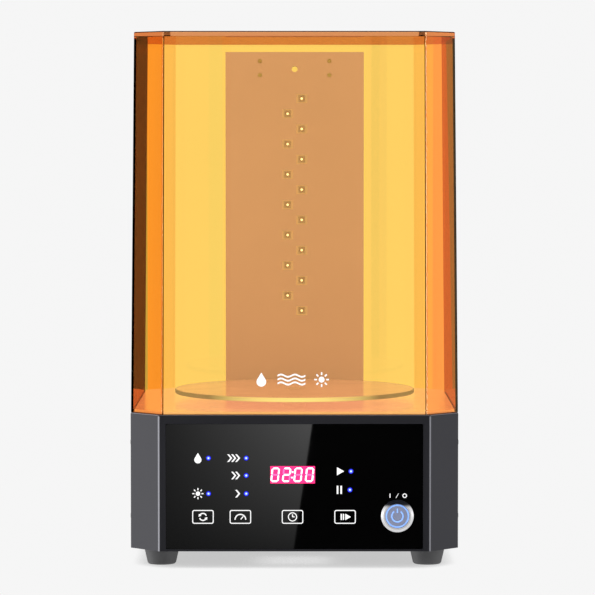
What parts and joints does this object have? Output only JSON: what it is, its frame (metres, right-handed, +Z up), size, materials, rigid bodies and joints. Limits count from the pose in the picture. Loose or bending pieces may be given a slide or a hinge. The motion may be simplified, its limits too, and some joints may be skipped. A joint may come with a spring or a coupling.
{
  "type": "resin wash and cure station",
  "caption": "Desk-top resin print wash and cure station: eight-sided metal base with touch panel, clear turntable, lamp column and lift-off amber hood.",
  "frame": {"origin": "on the table, under the middle of the object's footprint", "axes": "+Z up, front panel faces -Y, +X to the right as seen from the front"},
  "size_m": [0.2272, 0.2198, 0.3658],
  "materials": {
    "painted_casing": "satin dark grey powder paint",
    "amber_hood": "clear amber acrylic",
    "gloss_panel": "gloss black",
    "deck": "polished sheet",
    "display": "lit display window",
    "indicator": "lit blue lens",
    "switch_metal": "turned and brushed",
    "switch_cap": "circular brushing",
    "switch_light": "lit blue ring",
    "clear_acrylic": "clear with polished edge",
    "hub_plastic": "fine moulded",
    "column_metal": "satin light grey",
    "lamp": "domed lens",
    "rubber": "matte",
    "black_screw": "black oxide",
    "zinc_screw": "zinc plated",
    "circuit_board": "green solder mask",
    "white_board": "white solder mask",
    "components": "moulded black",
    "pan_metal": "satin dark grey",
    "motor_end": "die cast",
    "motor_core": "laminated, painted black",
    "bearing_steel": "ground",
    "aluminium_bar": "milled",
    "inlet_plastic": "moulded black",
    "seal": "matte",
    "lead": "pvc sheath"
  },
  "bodies": {
    "base": {"base_casing": "painted_casing", "bottom_pan": "pan_metal", "deck_plate": "deck", "shaft_seal": "seal", "foot_front_left": "rubber", "foot_front_right": "rubber", "foot_rear_left": "rubber", "foot_rear_right": "rubber", "foot_screws": "zinc_screw", "side_screws": "black_screw", "side_rivet_nuts": "zinc_screw", "front_panel": "gloss_panel", "control_board": "circuit_board", "board_posts": "zinc_screw", "board_screws": "zinc_screw", "time_display": "display", "indicator_lamps": "indicator", "touch_springs": "bearing_steel", "switch_barrel": "switch_metal", "switch_nut": "switch_metal", "switch_terminals": "components", "power_button_spring": "bearing_steel", "motor_front_bell": "motor_end", "motor_stator": "motor_core", "motor_rear_bell": "motor_end", "motor_bearing_upper": "bearing_steel", "motor_bearing_lower": "bearing_steel", "motor_screws": "zinc_screw", "column_front": "column_metal", "column_cover": "column_metal", "lamp_board": "white_board", "lamp_heat_bar": "aluminium_bar", "uv_lamps": "lamp", "column_foot": "aluminium_bar", "column_foot_screws": "zinc_screw", "column_top_plate": "aluminium_bar", "column_top_screws": "zinc_screw", "driver_board": "circuit_board", "driver_posts": "zinc_screw", "driver_screws": "zinc_screw", "driver_components": "components", "power_inlet": "inlet_plastic", "inlet_nut": "inlet_plastic", "motor_lead": "lead", "lamp_lead": "lead", "panel_lead": "lead", "switch_lead": "lead", "inlet_lead": "lead"},
    "hood": {"amber_hood": "amber_hood"},
    "spindle": {"motor_shaft": "bearing_steel", "motor_rotor": "motor_core", "drive_hub": "hub_plastic", "hub_set_screw": "black_screw"},
    "turntable": {"turntable_disc": "clear_acrylic"},
    "power_button": {"power_button_cap": "switch_cap", "power_button_ring": "switch_light"}
  },
  "joints": [
    {"name": "hood_lift", "type": "slide", "parent": "base", "child": "hood", "axis": [0, 0, 1], "range_m": [0, 0.27]},
    {"name": "turntable_spin", "type": "hinge", "parent": "base", "child": "spindle", "pos_m": [0, -0.004, 0.1], "axis": [0, 0, 1], "continuous": true},
    {"name": "turntable_lift", "type": "slide", "parent": "spindle", "child": "turntable", "axis": [0, 0, 1], "range_m": [0, 0.06]},
    {"name": "power_button_press", "type": "slide", "parent": "base", "child": "power_button", "axis": [0, 1, 0], "range_m": [0, 0.0025], "stiffness_N_per_m": 1200, "springref_m": -0.002, "deforming": ["power_button_spring"]}
  ]
}
